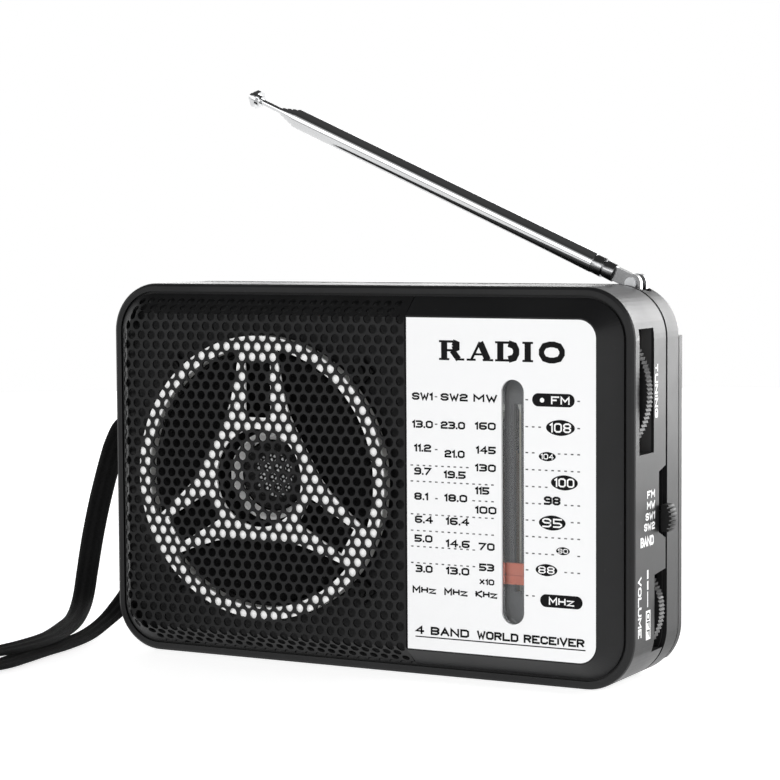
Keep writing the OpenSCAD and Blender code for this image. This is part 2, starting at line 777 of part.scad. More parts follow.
// antenna, drawn along its own axis and then raised
module along_antenna() {
  translate([ant_x, ant_y, ant_z]) rotate([0, antenna_tilt, 0]) rotate([0, -90, 0]) children();
}
module antenna_bushing() {
  color("#c9a658") translate([ant_x, ant_y, 0]) difference() {
    translate([0, 0, 71.4]) cylinder(h = 2.9, r = 2.5, $fn = 48);
    translate([0, 0, 70]) cylinder(h = 6, r = 1.6, $fn = 48);
  }
}
module antenna_base() {
  color("#c3c6c9") translate([ant_x, ant_y, 0]) difference() {
    union() {
      translate([0, 0, 70.2]) cylinder(h = 5, r = 1.52, $fn = 48);
      translate([0, 0, 70.2]) cylinder(h = 1.1, r = 2.2, $fn = 48);
      translate([0, 0, 74.4]) cylinder(h = 0.7, r = 2.6, $fn = 48);
      translate([-1.9, -2.1, 75]) cube([3.8, 4.2, 1.6]);
      translate([0, 2.1, ant_z]) rotate([90, 0, 0]) cylinder(h = 4.2, r = 1.9, $fn = 48);
    }
    translate([-5, -0.95, 75]) cube([10, 1.9, 6]);
    translate([0, 5, ant_z]) rotate([90, 0, 0]) cylinder(h = 10, r = 0.8, $fn = 32);
  }
}
module antenna_pin() {
  color("#c9ccd0") translate([ant_x, 0, ant_z]) union() {
    ycyl(0, 0, 0.8, ant_y - 2.3, ant_y + 2.3, 32);
    ycyl(0, 0, 1.2, ant_y - 2.6, ant_y - 2.1, 32);
    ycyl(0, 0, 1.2, ant_y + 2.1, ant_y + 2.6, 32);
  }
}
module antenna_lug() {
  color("#a9adb1") along_antenna() difference() {
    union() {
      rotate([90, 0, 0]) cylinder(h = 1.7, r = 1.4, $fn = 40, center = true);
      translate([-1.4, -0.85, 0]) cube([2.8, 1.7, 5]);
      translate([0, 0, 4.6]) cylinder(h = 2.2, r = 1.75, $fn = 48);
      translate([0, 0, 6.7]) cylinder(h = 0.5, r = 1.5, $fn = 48);
      translate([0, 0, 7.1]) cylinder(h = 2.3, r = 1.95, $fn = 48);
    }
    rotate([90, 0, 0]) cylinder(h = 4, r = 0.85, $fn = 32, center = true);
  }
}
// one tube of the antenna: outer radius r, bore b, from z0, with a rolled mouth at the far end
module antenna_tube(r, b, z0, len) {
  along_antenna() difference() {
    union() {
      translate([0, 0, z0]) cylinder(h = len - 0.3, r = r, $fn = 48);
      translate([0, 0, z0 + len - 0.4]) cylinder(h = 0.4, r = r - 0.1, $fn = 48);
    }
    translate([0, 0, z0 + 1]) cylinder(h = len, r = b, $fn = 48);
  }
}
module antenna_tube_1() {
  color("#d4d6d9") antenna_tube(tube_r, 1.72, 9.4, tube_len - 1.3);
}
module antenna_tube_2() {
  color("#d4d6d9") antenna_tube(1.66, 1.36, 10.6, tube_len - 1.2);
}
module antenna_tube_3() {
  color("#d4d6d9") antenna_tube(1.3, 1.0, 11.8, tube_len - 1.2);
}
module antenna_tube_4() {
  color("#d4d6d9") antenna_tube(0.94, 0.66, 13, tube_len - 1.2);
}
module antenna_tip() {
  color("#d4d6d9") along_antenna() union() {
    translate([0, 0, 14.2]) cylinder(h = tube_len + 4, r = 0.6, $fn = 32);
    translate([0, 0, tube_len + 17.2]) cylinder(h = 0.8, r = 1.2, $fn = 32);
    translate([0, 0, tube_len + 18]) cylinder(h = 0.9, r = 1.9, $fn = 40);
    translate([0, 0, tube_len + 18.9]) cylinder(h = 0.6, r = 1.4, $fn = 40);
    translate([0, 0, tube_len + 19.5]) cylinder(h = 0.7, r = 0.8, $fn = 40);
  }
}

module strap_bar() {
  color("#c9ccd0") translate([-56.2, 8, 43.6]) cylinder(h = 10.8, r = 1, $fn = 32);
}
// route of the strap, end to end, and the direction of its flat side at each point
strap_at = [
  [-56.2, 7.1, 50], [-60, 7.1, 50.1], [-64.8, 7.3, 49.2], [-69, 7.3, 46.2], [-71.6, 7.2, 41.5],
  [-73.4, 7, 36.5], [-76.1, 7, 28], [-78.1, 6.8, 19.7], [-79.2, 6.2, 12.4], [-78.3, 3.2, 6.9],
  [-75.4, -3.2, 4.1], [-71.2, -12.8, 3.3], [-67.4, -24, 3.1], [-66.6, -34, 3], [-67.6, -43, 3],
  [-70.6, -51, 2.75], [-76, -58, 2.5], [-83, -63.5, 2.55], [-89.5, -70, 2.6], [-89.5, -78.5, 2.6],
  [-81.5, -80.5, 2.6], [-74.5, -74, 2.5], [-69, -64.5, 2.1], [-65.4, -54, 1.65], [-64.2, -45, 1.2],
  [-64.7, -38, 1.15], [-65.6, -29.4, 1.15], [-66.2, -21, 1.15], [-67, -12.5, 1.45], [-67.9, -5, 2.7],
  [-67.9, 1, 5.1], [-66.7, 6, 9.8], [-65.3, 9.5, 17], [-64.2, 10.5, 27], [-63.6, 10.1, 37],
  [-63, 9.5, 45], [-60.5, 8.95, 49.6], [-56.2, 8.9, 50]
];
strap_w = [
  [0, 0, 1], [0, 0, 1], [0.3, 0.5, 0.8], [0.55, 0.65, 0.45], [0.75, 0.6, 0.2],
  [0.85, 0.5, 0.05], [0.88, 0.45, 0], [0.88, 0.45, 0], [0.88, 0.42, 0], [0.9, 0.4, 0],
  [0.92, 0.38, 0], [0.94, 0.34, -0.25], [0.97, 0.2, -0.25], [1, 0, -0.25], [0.97, -0.2, -0.15],
  [0.8, -0.5, 0.35], [0.5, -0.6, 0.7], [0.2, -0.3, 1], [0, 0, 1], [0, 0, 1],
  [0, 0, 1], [-0.3, 0.2, 1], [-0.7, 0.4, 0.5], [-0.95, 0.2, 0.35], [-1, 0, 0.25],
  [-1, 0, 0.25], [-1, 0, 0.25], [-0.98, -0.1, 0.25], [-0.95, -0.3, 0.15], [-0.92, -0.36, 0],
  [-0.92, -0.36, 0], [-0.92, -0.36, 0], [-0.92, -0.3, 0], [-0.9, 0, 0], [-0.8, 0.4, 0.1],
  [-0.4, 0.7, 0.6], [0, 0.2, 1], [0, 0, 1]
];
strap_half = [2.45, 0.65];
strap_sides = 10;
strap_last = len(strap_at) - 1;
function curve(v, i, t) =
  let (a = v[max(i - 1, 0)], b = v[i], c = v[min(i + 1, strap_last)], d = v[min(i + 2, strap_last)])
  b + 0.5 * t * (c - a) + t * t * (a - 2.5 * b + 2 * c - 0.5 * d) + t * t * t * (1.5 * (b - c) + 0.5 * (d - a));
function unit(v) = v / norm(v);
strap_n = 2 * strap_last;
strap_p = [for (k = [0:strap_n]) curve(strap_at, floor(k / 2), (k % 2) / 2)];
strap_d = [for (k = [0:strap_n]) unit(strap_p[min(k + 1, strap_n)] - strap_p[max(k - 1, 0)])];
strap_u = [for (k = [0:strap_n]) let (w = curve(strap_w, floor(k / 2), (k % 2) / 2))
  unit(w - (w * strap_d[k]) * strap_d[k])];
module wrist_strap() {
  m = strap_sides;
  rings = [for (k = [0:strap_n]) for (j = [0:m - 1]) let (a = j * 360 / m, v = cross(strap_d[k], strap_u[k]))
    strap_p[k] + strap_half[0] * cos(a) * strap_u[k] + strap_half[1] * sin(a) * v];
  low = [for (k = [0:strap_n - 1]) for (j = [0:m - 1]) [k * m + j, k * m + (j + 1) % m, (k + 1) * m + j]];
  high = [for (k = [0:strap_n - 1]) for (j = [0:m - 1])
    [k * m + (j + 1) % m, (k + 1) * m + (j + 1) % m, (k + 1) * m + j]];
  color("#141416") polyhedron(points = rings,
    faces = concat([[for (j = [m - 1:-1:0]) j]], low, high, [[for (j = [0:m - 1]) strap_n * m + j]]));
}

front_shell();
back_shell();
speaker_grille();
dial_plate();
dial_window();
pointer();
pointer_guide();
tuning_wheel();
cord_drum();
tuning_screw();
tuning_shaft();
tuning_capacitor();
dial_cord();
idler_pulley();
idler_pin();
volume_wheel();
volume_screw();
volume_pot();
band_slider();
band_switch();
circuit_board();
board_screws();
coil_cans();
chips();
electrolytics();
resistors();
ceramic_filter();
air_coils();
ferrite_rod();
rod_coils();
rod_saddles();
speaker_basket();
speaker_gasket();
speaker_guard();
cone_collar();
speaker_magnet();
speaker_rear_plate();
speaker_cone();
dust_cap();
voice_coil();
speaker_clamps();
clamp_screws();
earphone_jack();
battery_door();
battery_left();
battery_right();
battery_springs();
battery_contacts();
case_screws();
antenna_bushing();
antenna_base();
antenna_pin();
antenna_lug();
antenna_tube_1();
antenna_tube_2();
antenna_tube_3();
antenna_tube_4();
antenna_tip();
strap_bar();
wrist_strap();
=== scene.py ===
import math

import bpy
from mathutils import Matrix, Vector


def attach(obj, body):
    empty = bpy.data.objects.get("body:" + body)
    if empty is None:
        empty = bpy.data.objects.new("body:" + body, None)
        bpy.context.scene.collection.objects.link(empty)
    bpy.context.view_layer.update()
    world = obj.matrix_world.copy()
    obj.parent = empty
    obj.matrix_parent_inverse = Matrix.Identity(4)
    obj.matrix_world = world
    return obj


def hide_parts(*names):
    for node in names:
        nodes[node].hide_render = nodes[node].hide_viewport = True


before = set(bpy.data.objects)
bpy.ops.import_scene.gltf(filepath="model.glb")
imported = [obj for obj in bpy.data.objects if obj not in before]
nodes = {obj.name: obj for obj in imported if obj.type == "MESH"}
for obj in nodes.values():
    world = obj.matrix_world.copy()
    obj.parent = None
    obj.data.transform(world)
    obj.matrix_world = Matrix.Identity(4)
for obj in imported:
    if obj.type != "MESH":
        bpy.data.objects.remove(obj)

MM = 0.001
BODY = "case"  # the new pieces all ride on the case
for name in ("Cube", "Light", "Camera"):
    if name in bpy.data.objects:
        bpy.data.objects.remove(bpy.data.objects[name])
scene = bpy.context.scene
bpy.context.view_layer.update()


def at(x, y, z):
    """A point given in millimetres."""
    return Vector((x, y, z)) * MM


# ---------------------------------------------------------------- camera
# Place, direction and lens were solved from the edges of the case, dial and antenna.
LENS_MM, SENSOR_MM = 109.89, 36
CAMERA_AT_MM = (226.42, -423.03, 88.55)
CAMERA_BACK = (0.47032, -0.87972, 0.06997)
CAMERA_UP = (-0.02778, 0.06448, 0.99753)

cam_data = bpy.data.cameras.new("camera")
cam_data.sensor_width = SENSOR_MM
cam_data.lens = LENS_MM
cam_data.clip_start = 0.02
cam_data.clip_end = 30
camera = bpy.data.objects.new("camera", cam_data)
scene.collection.objects.link(camera)
scene.camera = camera
cam_back = Vector(CAMERA_BACK).normalized()
cam_right = Vector(CAMERA_UP).cross(cam_back).normalized()
cam_up = cam_back.cross(cam_right)
turn = Matrix((cam_right, cam_up, cam_back)).transposed().to_4x4()
camera.matrix_world = Matrix.Translation(at(*CAMERA_AT_MM)) @ turn


# ---------------------------------------------------------------- helpers for meshes
def add_mesh(name, verts, faces, mat, smooth, uvs=None):
    """A new piece from points in metres, riding on the case."""
    mesh = bpy.data.meshes.new(name)
    mesh.from_pydata([tuple(v) for v in verts], [], faces)
    if uvs:
        layer = mesh.uv_layers.new(name="UVMap")
        for poly in mesh.polygons:
            for li, uv in zip(poly.loop_indices, uvs[poly.index]):
                layer.data[li].uv = uv
    mesh.validate()
    mesh.polygons.foreach_set("use_smooth", [smooth] * len(mesh.polygons))
    obj = bpy.data.objects.new(name, mesh)
    scene.collection.objects.link(obj)
    obj.data.materials.append(mat)
    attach(obj, BODY)
    return obj


# ---------------------------------------------------------------- helpers for materials
class Mat:
    """A node material: one Principled shader with grain, mottling and bumps added to it."""

    def __init__(self, name, colour, rough=0.5, metal=0.0, **sockets):
        self.m = bpy.data.materials.new(name)
        self.m.use_nodes = True
        self.t = self.m.node_tree
        self.b = self.t.nodes["Principled BSDF"]
        self.colour = tuple(colour) + (1.0,)
        self.b.inputs["Base Color"].default_value = self.colour
        self.b.inputs["Roughness"].default_value = rough
        self.b.inputs["Metallic"].default_value = metal
        for key, value in sockets.items():
            self.b.inputs[key.replace("_", " ")].default_value = value
        self.co = self.t.nodes.new("ShaderNodeTexCoord").outputs["Object"]
        self.normal = None

    def node(self, kind, **values):
        n = self.t.nodes.new(kind)
        for key, value in values.items():
            if hasattr(n, key):
                setattr(n, key, value)
            else:
                n.inputs[key.replace("_", " ")].default_value = value
        return n

    def link(self, a, b):
        self.t.links.new(a, b)

    def noise(self, scale, detail, rough=0.55, stretch=None):
        src = self.co
        if stretch:
            mp = self.node("ShaderNodeMapping")
            mp.inputs["Scale"].default_value = stretch
            self.link(src, mp.inputs["Vector"])
            src = mp.outputs["Vector"]
        n = self.node("ShaderNodeTexNoise", Scale=scale, Detail=detail, Roughness=rough)
        self.link(src, n.inputs["Vector"])
        return n.outputs["Fac"]

    def axes(self, co=None):
        """X, Y and Z of the object's own coordinates, or of others."""
        n = self.node("ShaderNodeSeparateXYZ")
        self.link(co or self.co, n.inputs[0])
        return n.outputs

    def spread(self, fac, low, high, lo_in=0.3, hi_in=0.7):
        """Maps lo_in .. hi_in to low .. high, and holds the ends."""
        n = self.node("ShaderNodeMapRange")
        n.inputs["From Min"].default_value = lo_in
        n.inputs["From Max"].default_value = hi_in
        n.inputs["To Min"].default_value = low
        n.inputs["To Max"].default_value = high
        self.link(fac, n.inputs["Value"])
        return n.outputs["Result"]

    def math(self, op, a, b=None):
        n = self.node("ShaderNodeMath", operation=op)
        for i, v in enumerate((a, b)):
            if v is None:
                continue
            if isinstance(v, (int, float)):
                n.inputs[i].default_value = v
            else:
                self.link(v, n.inputs[i])
        return n.outputs[0]

    def tint(self, fac, other, amount=1.0):
        """Mixes the colour so far towards another colour by a factor."""
        n = self.node("ShaderNodeMix", data_type="RGBA")
        ins = [i for i in n.inputs if i.type == "RGBA"]
        fac_in = [i for i in n.inputs if i.name == "Factor" and i.type == "VALUE"][0]
        if amount != 1.0:
            fac = self.math("MULTIPLY", fac, amount)
        self.link(fac, fac_in)
        old = self.b.inputs["Base Color"]
        if old.is_linked:
            self.link(old.links[0].from_socket, ins[0])
        else:
            ins[0].default_value = self.colour
        ins[1].default_value = tuple(other) + (1.0,)
        self.link([o for o in n.outputs if o.type == "RGBA"][0], old)
        return self

    def roughen(self, fac, low, high, lo_in=0.3, hi_in=0.7):
        self.link(self.spread(fac, low, high, lo_in, hi_in), self.b.inputs["Roughness"])
        return self

    def bump(self, fac, depth, strength=1.0):
        n = self.node("ShaderNodeBump")
        n.inputs["Strength"].default_value = strength
        n.inputs["Distance"].default_value = depth
        self.link(fac, n.inputs["Height"])
        if self.normal:
            self.link(self.normal, n.inputs["Normal"])
        self.normal = n.outputs["Normal"]
        self.link(self.normal, self.b.inputs["Normal"])
        return self

    def grain(self, scale, detail, depth, strength, rough=0.55, stretch=None):
        """Bumps from a noise."""
        return self.bump(self.noise(scale, detail, rough, stretch), depth, strength)

    def mottle(self, other, amount, scale, detail, lo_in=0.3, hi_in=0.7, stretch=None):
        """Patches of another colour."""
        patches = self.spread(self.noise(scale, detail, stretch=stretch), 0.0, 1.0, lo_in, hi_in)
        return self.tint(patches, other, amount)


def moulded(name, colour, rough=0.42, grain=7000, depth=0.000012, dust=0.02, ior=1.45):
    """Moulded plastic: fine spark grain, uneven gloss and a trace of dust."""
    m = Mat(name, colour, rough, IOR=ior)
    fine = m.noise(grain, 2.0)
    broad = m.noise(55, 4.0, 0.6)
    m.roughen(broad, rough - 0.05, rough + 0.07)
    paler = [min(1, c * 1.5 + 0.004) for c in colour]
    m.tint(m.spread(broad, 0.0, 1.0, 0.35, 0.75), paler, 0.5)
    m.mottle((0.35, 0.35, 0.35), dust, 900, 1.0, 0.72, 0.8)
    m.bump(fine, depth, 0.5)
    return m


def plated(name, colour, rough=0.08, stretch=(1, 1, 1), smudge=0.05):
    """Plated metal: fine drawing lines and faint smudges."""
    m = Mat(name, colour, rough, 1.0)
    m.roughen(m.noise(240, 4.0, 0.6), rough, rough + smudge)
    m.grain(2600, 2.0, 0.000003, 0.25, stretch=stretch)
    m.mottle([c * 0.86 for c in colour], 0.6, 90, 3.0)
    return m


# ---------------------------------------------------------------- materials
case_black = moulded("case_black", (0.0085, 0.0086, 0.009), 0.36, ior=1.3)
knob_black = moulded("knob_black", (0.005, 0.005, 0.0052), 0.45, 5200, 0.000016, ior=1.3)
# painted light: the inside of the case, seen through the side slots, is tinted a little greyer to stand
# in for the light that falls on the slot walls; each pair of numbers is a plane in metres, from where the
# tint changes to where it has changed
SIDE_WALL, SLOTS_FRONT, SLOTS_BACK = (0.05765, 0.0578), (-0.0112, -0.011), (0.0032, 0.0034)
inner = case_black.axes()
lit_slot_x = case_black.spread(inner["X"], 1.0, 0.0, *SIDE_WALL)
lit_slot_y = case_black.math(
    "MULTIPLY", case_black.spread(inner["Y"], 0.0, 1.0, *SLOTS_FRONT),
    case_black.spread(inner["Y"], 1.0, 0.0, *SLOTS_BACK))
# painted light: the slot walls inside the case are lightened to grey in place of the light falling on
# them
case_black.tint(case_black.math("MULTIPLY", lit_slot_x, lit_slot_y), (0.055, 0.055, 0.056), 0.9)
grille_black = Mat("grille_black", (0.007, 0.0071, 0.0074), 0.42, IOR=1.26)
grille_black.grain(4200, 3.0, 0.00001, 0.5)
grille_black.roughen(grille_black.noise(160, 3.0), 0.36, 0.5)
grille_black.mottle((0.013, 0.013, 0.0135), 0.6, 70, 4.0, 0.4, 0.7)

plate_white = Mat("plate_white", (0.775, 0.778, 0.783), 0.34, 0.0, Coat_Weight=0.25, Coat_Roughness=0.12)
plate_white.grain(3000, 2.0, 0.000004, 0.25)
plate_white.roughen(plate_white.noise(120, 3.0), 0.3, 0.4)
plate_white.mottle((0.76, 0.765, 0.77), 0.35, 45, 4.0)

ink_black = Mat("ink_black", (0.003, 0.003, 0.0035), 0.6, IOR=1.2)
ink_black.grain(6000, 2.0, 0.000006, 0.5)
ink_black.mottle((0.012, 0.012, 0.012), 0.5, 2200, 2.0, 0.55, 0.75)
ink_grey = Mat("ink_grey", (0.06, 0.06, 0.06), 0.5, IOR=1.3)
ink_grey.mottle((0.25, 0.25, 0.25), 0.8, 2600, 2.0, 0.45, 0.65)
ink_white = Mat("ink_white", (0.82, 0.82, 0.82), 0.45)
ink_white.grain(6000, 2.0, 0.000006, 0.5)
ink_white.mottle((0.5, 0.5, 0.5), 0.5, 2600, 2.0, 0.5, 0.7)

window_clear = Mat("window_clear", (0.93, 0.95, 0.95), 0.03, 0.0, Transmission_Weight=1.0, IOR=1.49)
window_clear.grain(140, 2.0, 0.00002, 0.12)
pointer_red = Mat("pointer_red", (0.74, 0.11, 0.034), 0.36, 0.0, Coat_Weight=0.3, Coat_Roughness=0.2)
pointer_red.mottle((0.72, 0.16, 0.07), 0.5, 420, 3.0)
pointer_red.grain(5200, 2.0, 0.00001, 0.4)
guide_grey = moulded("guide_grey", (0.06, 0.062, 0.07), 0.4, 5200, 0.00001)

chrome = plated("chrome", (0.60, 0.605, 0.61), 0.07, (0.25, 1, 0.25))
lug_metal = plated("lug_metal", (0.3, 0.302, 0.306), 0.14, (1, 1, 0.2), 0.15)
steel = plated("steel", (0.56, 0.57, 0.58), 0.24, (1, 0.2, 1), 0.12)
screw_black = plated("screw_black", (0.05, 0.05, 0.055), 0.3, (1, 1, 1), 0.12)

guard_white = moulded("guard_white", (0.95, 0.95, 0.945), 0.45, 4200, 0.00001, 0.01)
cone_black = Mat("cone_black", (0.004, 0.004, 0.0042), 0.95, IOR=1.25)
cone_black.grain(1500, 4.0, 0.00008, 0.7, 0.7)
cone_black.mottle((0.008, 0.008, 0.008), 0.6, 700, 4.0, 0.4, 0.7)
basket_black = moulded("basket_black", (0.005, 0.005, 0.0052), 0.6, 3600, 0.00001, 0.0, 1.3)

# dust cap: a bright wire mesh in the middle of a dark cap
speaker_x, speaker_z = -21.3 * MM, 37.6 * MM
WIRE_PITCH = 0.85 * MM
WIRE_RADIUS = (0.0042, 0.0046)  # from here to here the mesh fades out
cap = Mat("cap_mesh", (0.006, 0.006, 0.0062), 0.5, 0.0, IOR=1.3)
cap_xyz = cap.axes()
dx = cap.math("SUBTRACT", cap_xyz["X"], speaker_x)
dz = cap.math("SUBTRACT", cap_xyz["Z"], speaker_z)
away = cap.math("SQRT", cap.math("ADD", cap.math("MULTIPLY", dx, dx), cap.math("MULTIPLY", dz, dz)))
inside = cap.spread(away, 1.0, 0.0, *WIRE_RADIUS)
dots = None
for angle in (15, 75, 135):
    c, s = math.cos(math.radians(angle)), math.sin(math.radians(angle))
    along = cap.math("ADD", cap.math("MULTIPLY", dx, c), cap.math("MULTIPLY", dz, s))
    wave = cap.math("SINE", cap.math("MULTIPLY", along, 2 * math.pi / WIRE_PITCH))
    dots = wave if dots is None else cap.math("ADD", dots, wave)
bright = cap.math("MULTIPLY", cap.spread(dots, 0.0, 1.0, 0.1, 1.2), inside)
cap.tint(bright, (0.78, 0.79, 0.8))
cap.bump(dots, 0.00006, 0.6)

cord_pale = Mat("cord_pale", (0.66, 0.62, 0.5), 0.6)
cord_pale.grain(5200, 2.0, 0.00005, 0.8, stretch=(1, 1, 0.25))
cord_pale.mottle((0.42, 0.38, 0.3), 0.6, 1800, 2.0)
nylon = moulded("nylon", (0.72, 0.71, 0.66), 0.4, 3200, 0.00001, 0.0)
clear_nylon = moulded("clear_nylon", (0.55, 0.55, 0.48), 0.25, 2600, 0.00001, 0.0)
board = Mat("board", (0.20, 0.115, 0.05), 0.5)
board.mottle((0.28, 0.18, 0.09), 0.7, 320, 4.0, stretch=(1, 1, 0.3))
board.grain(1800, 2.0, 0.00001, 0.5)
resin = moulded("resin", (0.018, 0.018, 0.019), 0.5, 3600, 0.00001)
sleeve = moulded("sleeve", (0.02, 0.04, 0.13), 0.3, 2600, 0.00001, 0.0)
beige = moulded("beige", (0.50, 0.38, 0.22), 0.35, 2600, 0.00001, 0.0)
orange = moulded("orange", (0.60, 0.22, 0.04), 0.35, 2600, 0.00001, 0.0)
copper = plated("copper", (0.72, 0.32, 0.16), 0.28, (1, 1, 0.1), 0.12)
ferrite = Mat("ferrite", (0.035, 0.034, 0.035), 0.55)
ferrite.grain(2600, 4.0, 0.00003, 0.6)
ferrite.mottle((0.06, 0.06, 0.062), 0.6, 900, 3.0)
paper = Mat("paper", (0.8, 0.8, 0.78), 0.8)
paper.grain(2600, 4.0, 0.00003, 0.5)
paper.mottle((0.68, 0.67, 0.64), 0.5, 300, 4.0)
# printed jacket of the cells: dark blue, then a thin white line, and above it a copper-gold end
jacket = Mat("jacket", (0.012, 0.03, 0.10), 0.3, 0.35, Coat_Weight=0.5, Coat_Roughness=0.1)
cell_z = jacket.axes()["Z"]
for lower_edge, print_colour, amount in (
    ((0.0418, 0.0419), (0.75, 0.75, 0.72), 0.9),
    ((0.0428, 0.0429), (0.56, 0.34, 0.10), 1.0),
):
    jacket.tint(jacket.spread(cell_z, 0.0, 1.0, *lower_edge), print_colour, amount)
jacket.mottle((0.02, 0.04, 0.11), 0.25, 260, 3.0)
jacket.grain(1500, 2.0, 0.000008, 0.4)

LOOKS = {
    case_black: ["front_shell", "back_shell", "battery_door", "antenna_bushing", "earphone_jack"],
    knob_black: ["tuning_wheel", "volume_wheel", "band_slider"],
    grille_black: ["speaker_grille"],
    plate_white: ["dial_plate"],
    window_clear: ["dial_window"],
    pointer_red: ["pointer"],
    guide_grey: ["pointer_guide"],
    lug_metal: ["antenna_lug", "antenna_base"],
    chrome: ["antenna_tube_1", "antenna_tube_2", "antenna_tube_3", "antenna_tube_4", "antenna_tip"],
    steel: [
        "tuning_screw", "tuning_shaft", "idler_pin", "volume_screw", "volume_pot", "band_switch",
        "board_screws", "coil_cans", "speaker_rear_plate", "battery_springs", "battery_contacts",
        "antenna_pin", "strap_bar",
    ],
    basket_black: ["speaker_basket", "speaker_clamps", "clamp_screws"],
    screw_black: ["case_screws"],
    guard_white: ["speaker_guard", "cone_collar"],
    paper: ["speaker_gasket"],
    cone_black: ["speaker_cone"],
    cap: ["dust_cap"],
    cord_pale: ["dial_cord"],
    nylon: ["cord_drum", "idler_pulley", "rod_saddles"],
    clear_nylon: ["tuning_capacitor"],
    board: ["circuit_board"],
    resin: ["chips"],
    sleeve: ["electrolytics"],
    beige: ["resistors"],
    orange: ["ceramic_filter"],
    copper: ["air_coils", "rod_coils", "voice_coil"],
    ferrite: ["ferrite_rod", "speaker_magnet"],
    jacket: ["battery_left", "battery_right"],
}
for look, names in LOOKS.items():
    for name in names:
        if name in nodes:
            nodes[name].data.materials.clear()
            nodes[name].data.materials.append(look.m)


# ---------------------------------------------------------------- small rounds on the CAD edges
def soften(name, width):
    """Rounded edges and smooth arcs, as modifiers over the unchanged CAD mesh; width in millimetres."""
    obj = nodes[name]
    weld = obj.modifiers.new("weld", "WELD")
    weld.merge_threshold = 0.000002
    bevel = obj.modifiers.new("bevel", "BEVEL")
    bevel.width = width * MM
    bevel.segments = 2
    bevel.limit_method = "ANGLE"
    bevel.angle_limit = math.radians(32)
    bevel.use_clamp_overlap = True
    normals = obj.modifiers.new("normals", "WEIGHTED_NORMAL")
    normals.weight = 50
    normals.keep_sharp = True


for width, names in (
    (0.14, ("front_shell", "back_shell", "battery_door")),
    (0.05, ("tuning_wheel", "volume_wheel")),
    (0.07, ("band_slider", "antenna_lug", "antenna_bushing")),
):
    for name in names:
        soften(name, width)


# ---------------------------------------------------------------- wrist strap
# The band's middle line from one end on the strap bar to the other, as in part.scad, in millimetres,
# and at each point the direction across the band.
strap_at = [
    (-56.2, 7.1, 50), (-60, 7.1, 50.1), (-64.8, 7.3, 49.2), (-69, 7.3, 46.2), (-71.6, 7.2, 41.5),
    (-73.4, 7, 36.5), (-76.1, 7, 28), (-78.1, 6.8, 19.7), (-79.2, 6.2, 12.4), (-78.3, 3.2, 6.9),
    (-75.4, -3.2, 4.1), (-71.2, -12.8, 3.3), (-67.4, -24, 3.1), (-66.6, -34, 3), (-67.6, -43, 3),
    (-70.6, -51, 2.75), (-76, -58, 2.5), (-83, -63.5, 2.55), (-89.5, -70, 2.6), (-89.5, -78.5, 2.6),
    (-81.5, -80.5, 2.6), (-74.5, -74, 2.5), (-69, -64.5, 2.1), (-65.4, -54, 1.65), (-64.2, -45, 1.2),
    (-64.7, -38, 1.15), (-65.6, -29.4, 1.15), (-66.2, -21, 1.15), (-67, -12.5, 1.45), (-67.9, -5, 2.7),
    (-67.9, 1, 5.1), (-66.7, 6, 9.8), (-65.3, 9.5, 17), (-64.2, 10.5, 27), (-63.6, 10.1, 37),
    (-63, 9.5, 45), (-60.5, 8.95, 49.6), (-56.2, 8.9, 50),
]
strap_w = [
    (0, 0, 1), (0, 0, 1), (0.3, 0.5, 0.8), (0.55, 0.65, 0.45), (0.75, 0.6, 0.2),
    (0.85, 0.5, 0.05), (0.88, 0.45, 0), (0.88, 0.45, 0), (0.88, 0.42, 0), (0.9, 0.4, 0),
    (0.92, 0.38, 0), (0.94, 0.34, -0.25), (0.97, 0.2, -0.25), (1, 0, -0.25), (0.97, -0.2, -0.15),
    (0.8, -0.5, 0.35), (0.5, -0.6, 0.7), (0.2, -0.3, 1), (0, 0, 1), (0, 0, 1),
    (0, 0, 1), (-0.3, 0.2, 1), (-0.7, 0.4, 0.5), (-0.95, 0.2, 0.35), (-1, 0, 0.25),
    (-1, 0, 0.25), (-1, 0, 0.25), (-0.98, -0.1, 0.25), (-0.95, -0.3, 0.15), (-0.92, -0.36, 0),
    (-0.92, -0.36, 0), (-0.92, -0.36, 0), (-0.92, -0.3, 0), (-0.9, 0, 0), (-0.8, 0.4, 0.1),
    (-0.4, 0.7, 0.6), (0, 0.2, 1), (0, 0, 1),
]


def curve_at(points, s):
    """Catmull-Rom curve through the points, at s = 0 .. len - 1."""
    i = min(int(s), len(points) - 2)
    t = s - i
    a, b = Vector(points[max(i - 1, 0)]), Vector(points[i])
    c, d = Vector(points[i + 1]), Vector(points[min(i + 2, len(points) - 1)])
    square, cube = a - 2.5 * b + 2 * c - 0.5 * d, 1.5 * (b - c) + 0.5 * (d - a)
    return b + 0.5 * t * (c - a) + t * t * square + t ** 3 * cube


web = Mat(
    "strap_webbing", (0.003, 0.003, 0.0031), 0.8, 0.0, IOR=1.2, Sheen_Weight=0.05, Sheen_Roughness=0.4)
WEAVE_PITCH_MM = 0.62
uv = web.axes(web.t.nodes.new("ShaderNodeTexCoord").outputs["UV"])
twill, cross = (
    web.math("SINE", web.math("MULTIPLY", web.math(op, uv["X"], uv["Y"]), 2 * math.pi / WEAVE_PITCH_MM))
    for op in ("ADD", "SUBTRACT"))
weave = web.math("MULTIPLY", twill, cross)
web.bump(weave, 0.00009, 0.8)
web.grain(5200, 3.0, 0.00003, 0.5)
web.tint(web.spread(weave, 0.0, 1.0, -0.4, 0.9), (0.01, 0.01, 0.0105), 0.8)

